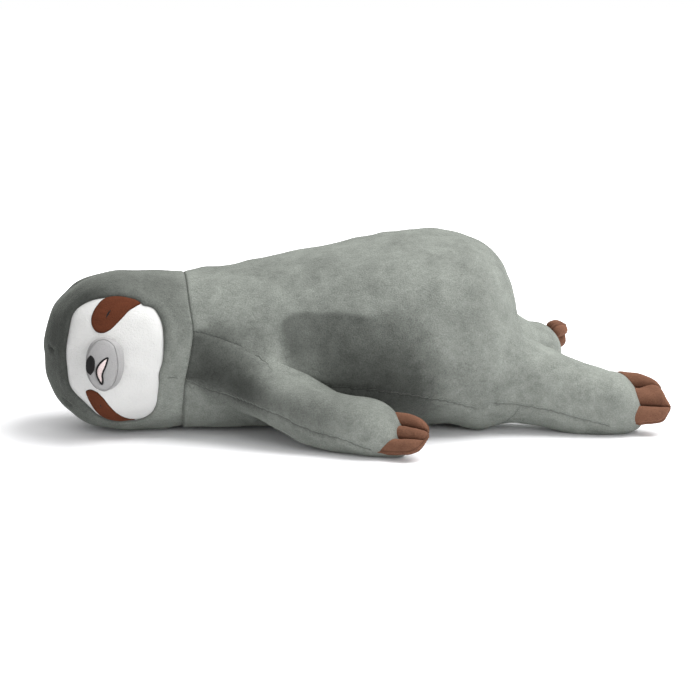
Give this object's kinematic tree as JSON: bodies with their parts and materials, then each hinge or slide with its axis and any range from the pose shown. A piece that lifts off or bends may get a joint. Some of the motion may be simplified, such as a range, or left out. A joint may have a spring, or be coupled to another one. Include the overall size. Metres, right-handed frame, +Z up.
{
  "type": "plush sloth",
  "caption": "Stuffed plush sloth lying on its belly with its head turned to one side, pale face, brown eye patches and soft claws.",
  "frame": {"origin": "centre of the footprint, on the surface that the sloth lies on", "axes": "+X from the head towards the feet, the face looks to -Y, +Z up"},
  "size_m": [0.7244, 0.4598, 0.2278],
  "materials": {
    "back_panel": "velvet plush",
    "belly_panel": "velvet plush",
    "body_stuffing": "loose polyester fibre",
    "hood": "velvet plush",
    "face_panel": "white velvet plush",
    "head_stuffing": "loose polyester fibre",
    "upper_eye_patch": "brown velvet plush",
    "lower_eye_patch": "brown velvet plush",
    "upper_eye": "satin-stitch embroidery",
    "lower_eye": "satin-stitch embroidery",
    "muzzle_cover": "grey velvet plush",
    "muzzle_stuffing": "loose polyester fibre",
    "nose": "satin-stitch embroidery",
    "mouth": "satin-stitch embroidery",
    "mouth_line": "satin-stitch embroidery",
    "left_arm_cover": "velvet plush",
    "left_arm_stuffing": "loose polyester fibre",
    "left_hand_claw_1": "brown velvet plush",
    "left_hand_claw_2": "brown velvet plush",
    "left_hand_claw_3": "brown velvet plush",
    "left_leg_cover": "velvet plush",
    "left_leg_stuffing": "loose polyester fibre",
    "left_foot_claw_1": "brown velvet plush",
    "left_foot_claw_2": "brown velvet plush",
    "left_foot_claw_3": "brown velvet plush",
    "right_arm_cover": "velvet plush",
    "right_arm_stuffing": "loose polyester fibre",
    "right_hand_claw_1": "brown velvet plush",
    "right_hand_claw_2": "brown velvet plush",
    "right_hand_claw_3": "brown velvet plush",
    "right_leg_cover": "velvet plush",
    "right_leg_stuffing": "loose polyester fibre",
    "right_foot_claw_1": "brown velvet plush",
    "right_foot_claw_2": "brown velvet plush",
    "right_foot_claw_3": "brown velvet plush"
  },
  "bodies": {
    "torso": {"back_panel": "back_panel", "belly_panel": "belly_panel", "body_stuffing": "body_stuffing"},
    "head": {"hood": "hood", "face_panel": "face_panel", "head_stuffing": "head_stuffing", "upper_eye_patch": "upper_eye_patch", "lower_eye_patch": "lower_eye_patch", "upper_eye": "upper_eye", "lower_eye": "lower_eye", "muzzle_cover": "muzzle_cover", "muzzle_stuffing": "muzzle_stuffing", "nose": "nose", "mouth": "mouth", "mouth_line": "mouth_line"},
    "left_arm": {"left_arm_cover": "left_arm_cover", "left_arm_stuffing": "left_arm_stuffing"},
    "left_hand_claws": {"left_hand_claw_1": "left_hand_claw_1", "left_hand_claw_2": "left_hand_claw_2", "left_hand_claw_3": "left_hand_claw_3"},
    "left_leg": {"left_leg_cover": "left_leg_cover", "left_leg_stuffing": "left_leg_stuffing"},
    "left_foot_claws": {"left_foot_claw_1": "left_foot_claw_1", "left_foot_claw_2": "left_foot_claw_2", "left_foot_claw_3": "left_foot_claw_3"},
    "right_arm": {"right_arm_cover": "right_arm_cover", "right_arm_stuffing": "right_arm_stuffing"},
    "right_hand_claws": {"right_hand_claw_1": "right_hand_claw_1", "right_hand_claw_2": "right_hand_claw_2", "right_hand_claw_3": "right_hand_claw_3"},
    "right_leg": {"right_leg_cover": "right_leg_cover", "right_leg_stuffing": "right_leg_stuffing"},
    "right_foot_claws": {"right_foot_claw_1": "right_foot_claw_1", "right_foot_claw_2": "right_foot_claw_2", "right_foot_claw_3": "right_foot_claw_3"}
  },
  "joints": [
    {"name": "head_turn", "type": "hinge", "parent": "torso", "child": "head", "pos_m": [-0.19623, 0, 0.0935], "axis": [1, 0, 0], "range_deg": [-30, 30], "stiffness_Nm_per_rad": 0.8},
    {"name": "left_arm_swing", "type": "hinge", "parent": "torso", "child": "left_arm", "pos_m": [-0.13823, -0.07, 0.08], "axis": [0, 0, -1], "range_deg": [0, 60]},
    {"name": "left_hand_claws_flex", "type": "hinge", "parent": "left_arm", "child": "left_hand_claws", "pos_m": [0.03449, -0.19549, 0.0315], "axis": [-0.4156, -0.5721, -0.7071], "range_deg": [-15, 15], "stiffness_Nm_per_rad": 0.05},
    {"name": "left_leg_swing", "type": "hinge", "parent": "torso", "child": "left_leg", "pos_m": [0.15177, -0.07, 0.086], "axis": [0, 0, -1], "range_deg": [-8, 32]},
    {"name": "left_foot_claws_flex", "type": "hinge", "parent": "left_leg", "child": "left_foot_claws", "pos_m": [0.32885, -0.11415, 0.041], "axis": [-0.1555, -0.6237, -0.766], "range_deg": [-15, 15], "stiffness_Nm_per_rad": 0.05},
    {"name": "right_arm_swing", "type": "hinge", "parent": "torso", "child": "right_arm", "pos_m": [-0.13823, 0.07, 0.08], "axis": [0, 0, 1], "range_deg": [0, 60]},
    {"name": "right_hand_claws_flex", "type": "hinge", "parent": "right_arm", "child": "right_hand_claws", "pos_m": [0.03449, 0.19549, 0.0315], "axis": [0.4156, -0.5721, 0.7071], "range_deg": [-15, 15], "stiffness_Nm_per_rad": 0.05},
    {"name": "right_leg_swing", "type": "hinge", "parent": "torso", "child": "right_leg", "pos_m": [0.15177, 0.07, 0.086], "axis": [0, 0, 1], "range_deg": [-34, 6]},
    {"name": "right_foot_claws_flex", "type": "hinge", "parent": "right_leg", "child": "right_foot_claws", "pos_m": [0.29157, 0.18731, 0.055], "axis": [0.4132, -0.4924, 0.766], "range_deg": [-15, 15], "stiffness_Nm_per_rad": 0.05}
  ]
}
